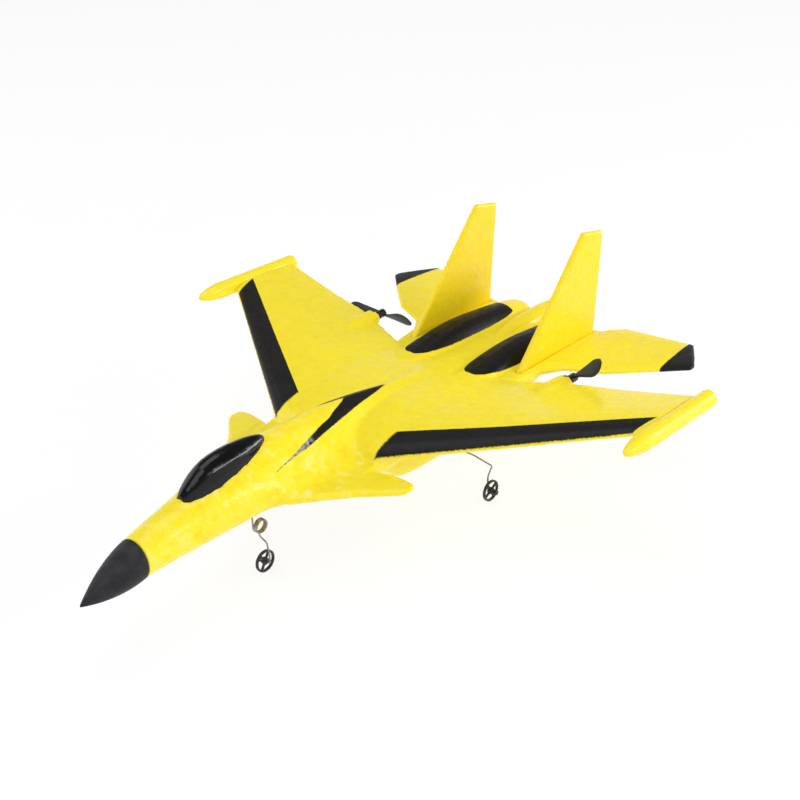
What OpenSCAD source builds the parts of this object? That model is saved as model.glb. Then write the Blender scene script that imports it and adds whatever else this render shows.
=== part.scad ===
// Ready-to-fly foam jet: a one-piece foam airframe with two pusher propellers,
// wire landing gear and an electronics bay in the belly.
// Millimetres. +Z is up, the nose points along -Y and +X is the port side.
// The origin is on the ground, below the middle of the bounding box.

/* [Airframe] */
// Span over the wingtip rods
span = 300; // [292:1:308]
// Diameter of a wingtip rod
rod_d = 9.6; // [8:0.2:10.4]
// Length of a wingtip rod
rod_len = 77; // [70:1:84]
// Length of the nose cone
cone_len = 32; // [28:1:36]
// Height of the tail fins' front tips above the ground
fin_tip_z = 123; // [110:1:126]
// Thickness of a tail fin
fin_t = 3.4; // [2.6:0.1:4]
// Thickness of the tailplane
tail_t = 5; // [4:0.2:5.6]
// Gap left round every piece let into the foam
fit_gap = 0.3; // [0.25:0.05:0.4]

/* [Propulsion] */
// Diameter of a propeller
prop_d = 46.6; // [40:0.2:47]
// Widest chord of a propeller blade
blade_chord = 8.4; // [6:0.2:9]
// Distance of each motor from the centre plane
motor_x = 67.5; // [66:0.5:69]
// Diameter of a motor can
motor_d = 6; // [5.6:0.1:6.4]
// Length of a motor can
motor_len = 14; // [13:0.5:15]
// Diameter of a motor shaft
shaft_d = 1; // [0.8:0.1:1.2]
// Resting angle of the port propeller about its shaft
port_prop_angle = -46; // [-90:1:90]
// Resting angle of the starboard propeller about its shaft
starboard_prop_angle = 4; // [-90:1:90]

/* [Landing gear] */
// Diameter of a wheel
wheel_d = 12; // [11:0.2:13]
// Width of a wheel's rim
rim_w = 1.4; // [1:0.1:2]
// Number of wheel spokes
spokes = 4; // [3:1:5]
// Diameter of the gear wire
wire_d = 0.9; // [0.7:0.05:1]
// Distance of each main wheel from the centre plane
track_half = 45; // [44:0.5:46]
// Turns of the nose gear's coil spring
coil_turns = 3; // [2:1:3]
// Mean radius of the coil spring
coil_r = 3.5; // [3:0.1:3.6]

/* [Electronics] */
// Length of the battery
battery_len = 31; // [26:1:32]
// Width of the battery
battery_w = 19; // [16:0.5:20]
// Thickness of the battery
battery_t = 7.5; // [6:0.25:7.75]
// Travel of the power switch
switch_travel = 2; // [1.5:0.1:2.2]

/* [Hidden] */

half_len = 180;
cone_y = -half_len + cone_len;
cone_base_r = 10;
cone_base_z = 46.7;
cone_tip_z = 38.2;
foam = [1, 0.92, 0.2];
charcoal = [0.18, 0.17, 0.19];
gloss_black = [0.06, 0.06, 0.07];
steel = [0.72, 0.72, 0.7];
white_plastic = [0.9, 0.9, 0.88];
board_green = [0.1, 0.4, 0.2];
ring_n = 40;
foil_n = 24;
slab_n = 16;

// Fuselage stations: y, half width, height of the side edge, top, bottom,
// and the fullness of the upper and lower halves (0.5 is round, above it hollow)
body_stations = [
    [cone_y, cone_base_r, cone_base_z, cone_base_z + cone_base_r, cone_base_z - cone_base_r, 0.5, 0.5],
    [-142, 10.6, 48, 58.4, 37.4, 0.5, 0.5],
    [-122, 12.8, 50.6, 63.2, 38.2, 0.5, 0.5],
    [-108, 15.2, 52, 66.8, 39.2, 0.5, 0.5],
    [-94, 18, 53.6, 70, 40.4, 0.56, 0.5],
    [-80, 20.8, 54.6, 72.4, 41.6, 0.8, 0.5],
    [-66, 27.4, 53.8, 73.6, 41.2, 1.7, 0.46],
    [-50, 34.4, 52.8, 73.8, 40.2, 3.1, 0.36],
    [-26, 37.4, 54.6, 73.2, 40, 4, 0.3],
    [-8, 38.5, 56.4, 72, 39.8, 7.5, 0.33],
    [10, 39.2, 57.4, 69.3, 40.2, 9, 0.4],
    [28, 40, 58.4, 66.6, 41, 9, 0.5],
    [58, 41, 58.8, 63.4, 44, 5, 0.6],
    [92, 42, 58.8, 61.2, 49, 3, 0.7],
    [126, 42, 58.8, 60.6, 53, 2, 0.7],
    [152, 40, 58.8, 60.2, 55.5, 2, 0.7]
];
// Engine nacelle stations: y, centre from the midline, half width, top, bottom, fullness
nacelle_stations = [
    [-27, 21, 9, 57, 49.4, 0.3],
    [-19, 21, 11, 58.4, 43.8, 0.28],
    [-11.5, 21, 12, 59.4, 38.9, 0.26],
    [-4, 21, 12, 60, 33.4, 0.25],
    [14, 21, 12, 61, 31.2, 0.25],
    [40, 21, 12, 62, 31.4, 0.28],
    [64, 20.8, 12, 64, 33, 0.32],
    [86, 20.6, 12.2, 67.4, 35.8, 0.4],
    [106, 20.5, 12.3, 68.6, 38.6, 0.45],
    [126, 20.4, 12, 67.2, 42, 0.48],
    [146, 20.2, 11.2, 64.8, 46, 0.5],
    [158, 20, 10, 62.6, 48.6, 0.5],
    [162, 20, 8.6, 61, 50, 0.5]
];
// Tail boom stations between the nacelles: y, half width, top, bottom
stinger_stations = [
    [94, 3, 58.5, 54],
    [116, 5.6, 62, 53],
    [138, 6.8, 65, 52.5],
    [160, 6.8, 65.2, 53],
    [172, 5.6, 63.6, 54.2],
    [178, 3.8, 61.4, 56],
    [half_len, 1.8, 59.8, 57.6]
];
// Wing stations: x, leading edge y, trailing edge y, their heights, and the
// height of the skin above and below the chord line
wing_edge_x = span / 2 - rod_d + 0.4;
wing_stations = [
    [8, -30, 70, 55, 60, 9, 4],
    [34.6, -26.9, 72, 55.4, 60.5, 8.4, 3.8],
    [42, -21.8, 75, 56.8, 61, 8.1, 3.6],
    [53, -14.2, 79, 58.8, 62, 7.6, 3.3],
    [67.5, -4.2, 84.5, 61.5, 63.4, 6.9, 3],
    [79, 3.7, 87.5, 63.6, 64.8, 6.4, 2.8],
    [100, 18.2, 88.5, 67.5, 68.4, 5.5, 2.4],
    [120, 32, 90.5, 71.2, 72.2, 4.6, 2],
    [wing_edge_x, 46, 93.2, 74.9, 76, 3.7, 1.7]
];
// Tailplane and tail deck stations: x, front y, rear y, height, thickness
tail_stations = [
    [0, 62, 150, 58.6, tail_t],
    [36, 62, 158, 58.6, tail_t],
    [42, 76, 159, 58.8, tail_t],
    [44, 92, 163, 59, tail_t],
    [52, 104, 168.4, 59.4, tail_t],
    [72, 113, 170.2, 59.8, tail_t * 0.92],
    [92, 132, 172, 60, tail_t * 0.78],
    [100, 140.4, 159.6, 60, tail_t * 0.7],
    [105.6, 146, 150, 60, tail_t * 0.5]
];
// Canard stations: x, front y, rear y, height, thickness
canard_stations = [
    [16, -84, -25, 51, 5.6],
    [25, -76, -26, 50.9, 5.4],
    [34, -64, -30, 50.8, 5],
    [45, -50.6, -27.4, 50.7, 4.4],
    [54, -42.4, -26, 50.6, 3.8],
    [59, -37.8, -26.6, 50.6, 3.2],
    [61.4, -34.2, -28.6, 50.6, 2]
];
// Canopy stations: y, half width, top; the seat it is glued on is a sloping plane
canopy_stations = [
    [-119.8, 3.6, 65.6],
    [-117, 5.2, 69],
    [-111, 7.2, 73.8],
    [-103, 8.5, 77.4],
    [-93, 8.7, 78.8],
    [-82, 7.7, 78.6],
    [-74, 5.6, 77.6],
    [-69, 3.4, 76.2],
    [-67, 1.7, 74.8]
];
canopy_seat_front_z = 58.5;
canopy_seat_slope = 0.17;

spigot_d = 9;
wheel_r = wheel_d / 2;
axle_r = wire_d / 2;
hub_r = 1.9;
boss_len = 2.6;
cap_r = 1.3;
cap_len = 1.5;
rim_t = 1.1;
axle_gap = 0.06;
axle_end = 4.2;
// Bent wire is drawn this much thinner than the straight axle that it ends in
core = 0.96;
main_wheel = [track_half, 51, wheel_r];
nose_wheel_at = [0, -72, wheel_r];
coil_at = [0, -74.5, 28.4];
coil_pitch = wire_d + 0.08;
belly_z = 40.4;
socket_h = 5;
nose_gear_y = coil_at.y - coil_r;
rod_x = span / 2 - rod_d / 2;
rod_y = 20.6;
rod_z = 76.9;
rod_droop = 1.1;
rod_flat_x = wing_edge_x + 0.2;
fin_x = 37;
fin_root_z = 58.4;
fin_slot_z = fin_root_z - 0.3;
motor_z = 64.2;
mount_r = motor_d / 2 + 0.7;
mount_y = 74.5;
mount_len = 11.5;
motor_y = mount_y - 3;
shaft_start_y = motor_y + motor_len - 3;
hub_y = motor_y + motor_len + 2.7;
hub_len = 5;
tray = [25.6, 54, 17.6];
tray_y = -33;
tray_wall = 1;
divider_z = 8.8;
flange_t = 1.6;
panel_t = 1.2;
panel = [28, 62];
deck_z = belly_z + panel_t;
tray_top = deck_z + tray.z;
hatch = [20.6, 34];
hatch_y = -57.4;
hinge_y = hatch_y - 1.5;
hinge_z = belly_z + 0.2;
pin_r = 0.4;
barrel_r = 1.2;
switch_at = [-6, -18];
socket_at = [6, -18];
light_at = [0, -9];
screw_x = tray.x / 2 - 1.6;
screw_y = panel.y / 2 - 2.1;
screw_len = 2.6;
screw_r = 0.65;
screw_head_r = 1.4;
lead_start = [tray.x / 2 + 1, -21, tray_top - 3];
board_z = deck_z + divider_z + tray_wall + 0.05;
lead_end = [motor_x, motor_y - 1.6, motor_z - 0.4];
lead_d = 0.8;

// Smooth curve through rows of a station table, at a place between rows
function blend4(a, b, c, d, t) =
    0.5 * (2 * b + (c - a) * t + (2 * a - 5 * b + 4 * c - d) * t * t
    + (3 * b - a - 3 * c + d) * t * t * t);
function station(table, u) =
    let (last = len(table) - 1, i = min(floor(u), last - 1))
    blend4(table[max(i - 1, 0)], table[i], table[i + 1], table[min(i + 2, last)], u - i);
function stations(table, steps) =
    [for (k = [0 : (len(table) - 1) * steps]) station(table, k / steps)];

// Cross sections, each a ring of points
function body_ring(s) = [for (k = [0 : ring_n - 1])
    let (a = 360 * k / ring_n, h = sin(a))
    [s[1] * cos(a), s[0], h >= 0
        ? s[2] + (s[3] - s[2]) * pow(h, 2 * s[5])
        : s[2] - (s[2] - s[4]) * pow(-h, 2 * s[6])]];
function tube_ring(y, x, z, w, h, q, n) = [for (k = [0 : n - 1])
    let (a = 360 * k / n, c = cos(a), s = sin(a))
    [x + w * sign(c) * pow(abs(c), 2 * q), y, z + h * sign(s) * pow(abs(s), 2 * q)]];
function nacelle_ring(s) = tube_ring(s[0], s[1], (s[3] + s[4]) / 2, s[2], (s[3] - s[4]) / 2, s[5], 20);
function stinger_ring(s) = tube_ring(s[0], 0, (s[2] + s[3]) / 2, s[1], (s[2] - s[3]) / 2, 0.42, 16);
function foil(s) =
    10 * (0.2969 * sqrt(s) - 0.126 * s - 0.3516 * s * s + 0.2843 * pow(s, 3) - 0.1015 * pow(s, 4));
function wing_ring(w) = [for (k = [0 : foil_n - 1])
    let (a = 360 * k / foil_n, s = (1 + cos(a)) / 2, up = sin(a) >= 0)
    [w[0], w[1] + (w[2] - w[1]) * s,
        w[3] + (w[4] - w[3]) * s
            + (up ? 1 : -1) * (foil(s) * (up ? w[5] : w[6]) + 0.5 * s * abs(sign(sin(a))))]];
function slab_ring(p) = [for (k = [0 : slab_n - 1])
    let (a = 360 * k / slab_n, c = cos(a), s = sin(a))
    [p[0], (p[1] + p[2]) / 2 + (p[2] - p[1]) / 2 * sign(c) * pow(abs(c), 0.8),
        p[3] + p[4] / 2 * sign(s) * pow(abs(s), 0.5)]];
function canopy_ring(s, grow) =
    let (seat = canopy_seat_front_z + canopy_seat_slope * (s[0] - canopy_stations[0][0]) - grow)
    [for (k = [0 : ring_n / 2]) let (a = 180 * k / (ring_n / 2))
        [(s[1] + grow) * cos(a), s[0], seat + (s[2] + grow - seat) * pow(sin(a), 0.9)]];

// A closed skin over rings of equal length
module loft(rings, flip = false) {
    n = len(rings[0]);
    m = len(rings);
    sides = [for (j = [0 : m - 2], k = [0 : n - 1], half = [0, 1])
        let (p = j * n + k, q = j * n + (k + 1) % n)
        half == 0 ? [p, q, q + n] : [p, q + n, p + n]];
    front = [[for (k = [n - 1 : -1 : 0]) k]];
    back = [[for (k = [0 : n - 1]) (m - 1) * n + k]];
    faces = concat(sides, front, back);
    polyhedron(
        points = [for (r = rings) each r],
        faces = flip ? [for (f = faces) [for (k = [len(f) - 1 : -1 : 0]) f[k]]] : faces,
        convexity = 6);
}

module both_sides() {
    children();
    mirror([1, 0, 0]) children();
}

// A straight round bar between two points
module bar(a, b, d) {
    v = b - a;
    translate(a)
        rotate([0, acos(v.z / norm(v)), atan2(v.y, v.x)])
            cylinder(d = d, h = norm(v), $fn = 24);
}

// A route with its corners rounded off, and the round tube that follows it
function unit(v) = v / norm(v);
function corner(a, b, c, r) =
    let (p = b + r * unit(a - b), q = b + r * unit(c - b))
    [for (t = [0 : 0.25 : 1]) (1 - t) * (1 - t) * p + 2 * t * (1 - t) * b + t * t * q];
function rounded(route, r) = concat(
    [route[0]],
    [for (k = [1 : len(route) - 2]) each corner(route[k - 1], route[k], route[k + 1], r)],
    [route[len(route) - 1]]);
function tube_section(at, along, r) =
    let (u = unit(cross([0.05, 1, 0.1], along)), v = cross(along, u))
    [for (k = [0 : 9]) at + r * (cos(36 * k) * u + sin(36 * k) * v)];
module tube(route, d) {
    last = len(route) - 1;
    loft([for (k = [0 : last])
        tube_section(route[k], unit(route[min(k + 1, last)] - route[max(k - 1, 0)]), d / 2)], true);
}

module along_y(y, x = 0, z = 0) {
    translate([x, y, z]) rotate([-90, 0, 0]) children();
}

module along_x(x, y, z) {
    translate([x, y, z]) rotate([0, 90, 0]) children();
}

module block(size, at) {
    translate(at - [size.x / 2, size.y / 2, 0]) cube(size);
}

// ---- Foam airframe ----

module fuselage_foam() {
    loft([for (s = stations(body_stations, 3)) body_ring(s)]);
    loft([for (s = stations(stinger_stations, 2)) stinger_ring(s)]);
}

module side_foam() {
    loft([for (s = stations(nacelle_stations, 3)) nacelle_ring(s)]);
    loft([for (w = wing_stations) wing_ring(w)], true);
    loft([for (p = tail_stations) slab_ring(p)], true);
    loft([for (p = canard_stations) slab_ring(p)], true);
    motor_pod();
    gear_pad();
}

// Hump that fairs the motor into the wing's trailing edge
module motor_pod() {
    rear_y = mount_y + mount_len - 1;
    hull() {
        translate([motor_x, 44, motor_z - 2]) scale([1, 3, 0.6]) sphere(r = 3, $fn = 12);
        along_y(rear_y - 15, motor_x, motor_z)
            scale([1.3, 1, 1]) cylinder(r = mount_r + 0.9, h = 6, $fn = 24);
        along_y(rear_y - 4, motor_x, motor_z)
            scale([1.12, 1, 1]) cylinder(r = mount_r + 0.7, h = 4, $fn = 24);
    }
}

// Thick spot under the nacelle that holds the main gear socket
module gear_pad() {
    hull() for (dy = [-5, 5])
        translate([socket_x, socket_y + dy, 32]) scale([1, 1, 0.35]) sphere(r = 5.4, $fn = 16);
}

module lead_tunnel() {
    hull() for (p = [lead_start - [3, 5, 0], lead_end])
        translate(p) sphere(d = lead_d * 2 + 1, $fn = 8);
}

module airframe_pockets() {
    pocket_depth = 9;
    block([tray.x + 2 * fit_gap, tray.y + 2 * fit_gap, tray.z + fit_gap + pocket_depth],
        [0, tray_y, deck_z - pocket_depth]);
    block([panel.x + 2 * fit_gap, panel.y + 2 * fit_gap, flange_t + fit_gap + pocket_depth],
        [0, tray_y, deck_z - pocket_depth]);
    loft([for (s = stations(canopy_stations, 2)) canopy_ring(s, fit_gap)]);
    along_y(cone_y - 1, 0, cone_base_z) cylinder(d = spigot_d + 2 * fit_gap, h = 11, $fn = 24);
    translate([0, nose_gear_y, belly_z - 9]) cylinder(d = 6 + 2 * fit_gap, h = socket_h + 9.5, $fn = 24);
    both_sides() {
        along_y(mount_y - fit_gap, motor_x, motor_z) cylinder(r = mount_r + fit_gap, h = 24, $fn = 24);
        along_y(motor_y - 2.5, motor_x, motor_z) cylinder(r = motor_d / 2 + 0.3, h = 6, $fn = 24);
        lead_tunnel();
        fin_slot();
        translate([socket_x, socket_y, socket_z - 4])
            cylinder(r = socket_r + fit_gap, h = socket_len + 4 + fit_gap, $fn = 28);
    }
}

module fin_slot() {
    translate([fin_x - fin_t / 2 - 0.15, 83.6, fin_slot_z]) cube([fin_t + 0.3, 69.6, 12]);
}

module airframe() {
    color(foam)
        difference() {
            union() {
                fuselage_foam();
                side_foam();
                mirror([1, 0, 0]) side_foam();
            }
            airframe_pockets();
        }
}

// ---- Foam pieces glued on ----

// Side outline of a fin, in the plane of y and z
fin_outline = [[84, fin_root_z], [153, fin_root_z], [158.9, fin_tip_z - 3.6], [140.8, fin_tip_z], [84, 60.6]];

module fin() {
    color(foam)
        translate([fin_x, 0, 0]) rotate([90, 0, 90]) hull() {
            linear_extrude(fin_t - 1.6, center = true) polygon(fin_outline);
            linear_extrude(fin_t, center = true) offset(delta = -1.1) polygon(fin_outline);
        }
}

module port_fin() { fin(); }
module starboard_fin() { mirror([1, 0, 0]) fin(); }

module wingtip_rod() {
    r = rod_d / 2;
    ogive = [for (k = [0 : 8]) let (t = k / 8)
        [r * sqrt(1 - pow(1 - t, 2)) * (0.75 + 0.25 * t) + 0.01, 16 * t]];
    round_end = [for (k = [1 : 5]) let (a = 18 * k) [r - 2.6 * (1 - cos(a)), rod_len - 2.6 + 2.6 * sin(a)]];
    color(foam)
        difference() {
            along_y(rod_y, rod_x, rod_z) rotate([-rod_droop, 0, 0])
                rotate_extrude($fn = 48) polygon(concat([[0, 0]], ogive, round_end, [[0, rod_len]]));
            translate([rod_flat_x - 10, rod_y - 1, rod_z - rod_d])
                cube([10, rod_len + 2, 2 * rod_d]);
        }
}

module port_wingtip_rod() { wingtip_rod(); }
module starboard_wingtip_rod() { mirror([1, 0, 0]) wingtip_rod(); }

// Drooping pointed cone with a spigot that plugs into the fuselage
module nose_cone() {
    cone_rings = [for (k = [0 : 12]) let (t = k / 12, r = 0.4 + (cone_base_r - 0.4) * (1 - pow(1 - t, 1.85)))
        tube_ring(-half_len + (cone_len - 0.25) * t, 0, cone_tip_z + (cone_base_z - cone_tip_z) * t,
            r, r, 0.5, ring_n)];
    color(charcoal)
        union() {
            loft(cone_rings);
            along_y(cone_y - 4, 0, cone_base_z) cylinder(d = spigot_d, h = 12, $fn = 32);
        }
}

module canopy() {
    color(gloss_black)
        loft([for (s = stations(canopy_stations, 2)) canopy_ring(s, 0)]);
}

// ---- Propulsion ----

module motor_mount() {
    color(gloss_black)
        along_y(mount_y, motor_x, motor_z)
            difference() {
                cylinder(r = mount_r, h = mount_len, $fn = 48);
                translate([0, 0, -1]) cylinder(r = motor_d / 2 + 0.05, h = mount_len + 2, $fn = 48);
            }
}

module port_motor_mount() { motor_mount(); }
module starboard_motor_mount() { mirror([1, 0, 0]) motor_mount(); }

module motor() {
    color("silver")
        along_y(motor_y, motor_x, motor_z)
            difference() {
                union() {
                    cylinder(d = motor_d, h = motor_len, $fn = 48);
                    translate([0, 0, motor_len]) cylinder(r = 1.4, h = 0.8, $fn = 32);
                    translate([0, 0, -0.8]) cylinder(d = motor_d - 0.8, h = 0.8, $fn = 40);
                }
                translate([0, 0, motor_len - 4]) cylinder(d = shaft_d + 2 * axle_gap, h = 8, $fn = 24);
            }
}

module port_motor() { motor(); }
module starboard_motor() { mirror([1, 0, 0]) motor(); }

module motor_shaft() {
    color(steel)
        along_y(shaft_start_y, motor_x, motor_z)
            cylinder(d = shaft_d, h = hub_y + hub_len + 0.6 - shaft_start_y, $fn = 32);
}

module port_motor_shaft() { motor_shaft(); }
module starboard_motor_shaft() { mirror([1, 0, 0]) motor_shaft(); }

// One twisted blade along +X in the disc's own frame, the shaft along +Z. One of its edges is
// straight and the other one bulges towards the tip; side is 1 or -1, for a mirrored pair
blade_edge = 1.2;
blade_tip_chord = 2.4;
blade_z = hub_len / 2 + 0.7;
function blade_ring(u, side) =
    let (r = 1.6 + (prop_d / 2 - 1.6) * u,
        chord = blade_tip_chord + (blade_chord - blade_tip_chord) * pow(sin(180 * pow(u, 1.8)), 0.8),
        edge = blade_edge - 1.8 * pow(max(0, u - 0.75) / 0.25, 2),
        t = 0.75 - 0.3 * u,
        twist = 42 - 26 * u)
    [for (k = [0 : 11]) let (a = 30 * k, c = edge - chord * (1 - cos(a)) / 2, h = t * sin(a))
        [r, -side * (c * cos(twist) - h * sin(twist)), blade_z + c * sin(twist) + h * cos(twist)]];

module propeller(side, angle) {
    color(gloss_black)
        along_y(hub_y, side * motor_x, motor_z) rotate([0, 0, angle])
            difference() {
                union() {
                    cylinder(r = 2.4, h = hub_len, $fn = 40);
                    for (turn = [0, 180]) rotate([0, 0, turn])
                        loft([for (k = [0 : 12]) blade_ring(k / 12, side)], side < 0);
                }
                translate([0, 0, -1]) cylinder(d = shaft_d + 0.04, h = hub_len + 2, $fn = 24);
            }
}

module port_propeller() { propeller(1, port_prop_angle); }
module starboard_propeller() { propeller(-1, starboard_prop_angle); }

module motor_leads() {
    side = [0.5, -0.31, 0] * lead_d * 1.1;
    color("crimson") bar(lead_start + side, lead_end + side, lead_d);
    color("darkslategray") bar(lead_start - side, lead_end - side, lead_d);
}

module port_motor_leads() { motor_leads(); }
module starboard_motor_leads() { mirror([1, 0, 0]) motor_leads(); }

// ---- Landing gear ----

module nose_gear_socket() {
    color(white_plastic)
        difference() {
            translate([0, nose_gear_y, belly_z + 0.2]) cylinder(d = 6, h = socket_h, $fn = 40);
            translate([0, nose_gear_y, belly_z - 1]) cylinder(d = wire_d + 0.04, h = 5, $fn = 24);
        }
}

module nose_gear_stub() {
    color(steel)
        translate([0, nose_gear_y, coil_at.z]) cylinder(d = wire_d, h = belly_z + 3.6 - coil_at.z, $fn = 24);
}

// Helix of the nose gear's torsion spring, about the X axis, from the foot of the stub
coil_steps = 16;
coil_end = coil_turns - 0.02;
function coil_point(u) =
    let (a = 180 + 360 * u)
    [coil_pitch * u, coil_r * cos(a), coil_r * sin(a)];
function coil_ring(u) =
    let (a = 180 + 360 * u, p = coil_point(u))
    [for (k = [0 : 7]) let (b = 45 * k, radial = wire_d / 2 * cos(b))
        p + [wire_d / 2 * sin(b), radial * cos(a), radial * sin(a)]];

module nose_coil_spring() {
    color(steel)
        translate(coil_at)
            loft([for (k = [0 : coil_turns * coil_steps])
                coil_ring(k / (coil_turns * coil_steps) * coil_end)]);
}

// Lower leg: leaves the last turn, runs down beside the wheel and bends into its axle
leg_x = coil_pitch * coil_turns + axle_r;
leg_side_x = leg_x + 0.2;
leg_points = [
    [leg_x, nose_gear_y, coil_at.z - 0.4],
    [leg_x, nose_gear_y + 1.4, coil_at.z - 4.6],
    [leg_x + 0.1, nose_wheel_at.y - 1, 18.6],
    [leg_side_x, nose_wheel_at.y, 11],
    [leg_side_x, nose_wheel_at.y, nose_wheel_at.z],
    [leg_side_x - 1.6, nose_wheel_at.y, nose_wheel_at.z]
];

module nose_leg_wire() {
    color(steel) {
        tube(rounded(leg_points, 0.9), wire_d * core);
        along_x(-axle_end, nose_wheel_at.y, nose_wheel_at.z)
            cylinder(d = wire_d, h = leg_side_x - 1 + axle_end, $fn = 32);
    }
}

// Spoked wheel about the X axis; the long boss points along dir
module wheel(at, dir) {
    color(gloss_black)
        translate(at) rotate([0, 90 * dir, 0])
            difference() {
                union() {
                    difference() {
                        translate([0, 0, -rim_w / 2]) cylinder(r = wheel_r, h = rim_w, $fn = 96);
                        translate([0, 0, -rim_w]) cylinder(r = wheel_r - rim_t, h = 2 * rim_w, $fn = 72);
                    }
                    for (k = [0 : spokes - 1]) rotate([0, 0, 360 / spokes * k + 30])
                        translate([0, -rim_t / 2, -0.5]) cube([wheel_r - rim_t / 2, rim_t, 1]);
                    translate([0, 0, -1]) cylinder(r = hub_r, h = 2, $fn = 40);
                    translate([0, 0, 1]) cylinder(r1 = hub_r, r2 = 1.1, h = boss_len - 1, $fn = 40);
                }
                translate([0, 0, -3]) cylinder(r = axle_r + axle_gap, h = 8, $fn = 32);
            }
}

module wheel_cap(at, dir) {
    color(gloss_black)
        translate(at) rotate([0, 90 * dir, 0])
            difference() {
                translate([0, 0, boss_len + fit_gap]) cylinder(r = cap_r, h = cap_len, $fn = 32);
                translate([0, 0, boss_len - 0.6]) cylinder(r = axle_r + 0.01, h = 2.2, $fn = 32);
            }
}

module nose_wheel() { wheel(nose_wheel_at, -1); }
module nose_wheel_cap() { wheel_cap(nose_wheel_at, -1); }

// Main leg: out of its socket, outboard and down to a knee, down to the axle
socket_x = 27.4;
socket_y = 42.6;
socket_z = 30.9;
socket_r = 3.2;
socket_len = 6.4;
leg_foot_x = main_wheel.x - 2.2;
gear_points = [
    [socket_x, socket_y, socket_z + 5.1],
    [socket_x, socket_y, socket_z - 1.3],
    [socket_x + 8.6, socket_y + 4.8, 26.2],
    [main_wheel.x - 0.2, main_wheel.y + 1.4, 20.4],
    [leg_foot_x, main_wheel.y + 0.5, wheel_d + 1.8],
    [leg_foot_x, main_wheel.y, main_wheel.z],
    [leg_foot_x + 1.6, main_wheel.y, main_wheel.z]
];

module gear_wire() {
    color(steel) {
        tube(rounded(gear_points, 0.9), wire_d * core);
        along_x(leg_foot_x + 1, main_wheel.y, main_wheel.z)
            cylinder(d = wire_d, h = main_wheel.x + axle_end - leg_foot_x - 1, $fn = 32);
    }
}
module port_gear_wire() { gear_wire(); }
module starboard_gear_wire() { mirror([1, 0, 0]) gear_wire(); }

module gear_socket() {
    color(white_plastic)
        difference() {
            translate([socket_x, socket_y, socket_z]) cylinder(r = socket_r, h = socket_len, $fn = 28);
            translate([socket_x, socket_y, socket_z - 1])
                cylinder(d = wire_d + 0.04, h = socket_len, $fn = 24);
        }
}

module port_gear_socket() { gear_socket(); }
module starboard_gear_socket() { mirror([1, 0, 0]) gear_socket(); }
module port_wheel() { wheel(main_wheel, 1); }
module starboard_wheel() { mirror([1, 0, 0]) wheel(main_wheel, 1); }
module port_wheel_cap() { wheel_cap(main_wheel, 1); }
module starboard_wheel_cap() { mirror([1, 0, 0]) wheel_cap(main_wheel, 1); }

// ---- Electronics bay ----

module screw_places() {
    for (x = [-1, 1], y = [-1, 1]) translate([x * screw_x, tray_y + y * screw_y, 0]) children();
}

// Open box with a divider half way up, and a flange at each end for the panel's screws
module electronics_tray() {
    floor_z = deck_z + divider_z;
    color(charcoal)
        difference() {
            union() {
                block([tray.x, tray.y, tray.z], [0, tray_y, deck_z]);
                block([tray.x, panel.y - 1, flange_t], [0, tray_y, deck_z]);
            }
            screw_places() translate([0, 0, deck_z - 1])
                cylinder(r = screw_r + 0.05, h = flange_t + 2, $fn = 24);
            block([19.4, 4, 1], [0, hinge_y, deck_z - 0.5]);
            block([tray.x - 2 * tray_wall, tray.y - 2 * tray_wall, divider_z + 1], [0, tray_y, deck_z - 1]);
            block([tray.x - 2 * tray_wall, tray.y - 2 * tray_wall, tray.z - divider_z - 1 - tray_wall],
                [0, tray_y, floor_z + 1]);
            block([tray.x - 6, 20, 4], [0, tray_y + tray.y / 2 - 14, floor_z - 1]);
            for (side = [-1, 1]) block([6, 5, 3.4], [side * tray.x / 2, lead_start.y, lead_start.z - 1.7]);
        }
}

panel_corner = 3;
panel_outline = [
    for (q = [[1, 1], [-1, 1], [-1, -1], [1, -1]]) each
        let (x = q.x * panel.x / 2, y = q.y * panel.y / 2, dx = q.x * panel_corner, dy = q.y * panel_corner)
        q.x == q.y ? [[x, y - dy], [x - dx, y]] : [[x - dx, y], [x, y - dy]]
];

module belly_panel() {
    color(charcoal)
        difference() {
            union() {
                difference() {
                    translate([0, tray_y, belly_z]) linear_extrude(panel_t) polygon(panel_outline);
                    block([hatch.x + 0.6, hatch.y + 3.1, 3],
                        [0, hinge_y - 1.3 + (hatch.y + 3.1) / 2, belly_z - 1]);
                }
                for (side = [-1, 1]) {
                    block([3.4, 2.4, 1], [side * 7.5, hinge_y - 1, hinge_z - 0.5]);
                    along_x(side * 7.5 - 1.7, hinge_y, hinge_z) cylinder(r = barrel_r, h = 3.4, $fn = 32);
                }
            }
            along_x(-12, hinge_y, hinge_z) cylinder(r = pin_r + 0.01, h = 24, $fn = 24);
            block([2.2 + switch_travel + 0.6, 1.8, 3], [switch_at.x, switch_at.y, belly_z - 1]);
            block([6.2, 3, 3], [socket_at.x, socket_at.y, belly_z - 1]);
            translate([light_at.x, light_at.y, belly_z - 1]) cylinder(r = 1.6, h = 3, $fn = 32);
            screw_places() {
                translate([0, 0, belly_z - 1]) cylinder(r = screw_r + 0.15, h = 4, $fn = 24);
                translate([0, 0, belly_z - 0.01])
                    cylinder(r1 = screw_head_r + 0.1, r2 = screw_r + 0.15, h = 0.7, $fn = 24);
            }
        }
}

module panel_screws() {
    color("dimgray")
        screw_places() {
            translate([0, 0, belly_z + 0.05])
                difference() {
                    cylinder(r1 = screw_head_r, r2 = screw_r, h = 0.7, $fn = 32);
                    for (turn = [0, 90]) rotate([0, 0, turn])
                        translate([-0.9, -0.15, -0.3]) cube([1.8, 0.3, 0.6]);
                }
            translate([0, 0, belly_z + 0.7]) cylinder(r = screw_r, h = screw_len - 0.7, $fn = 32);
        }
}

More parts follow.
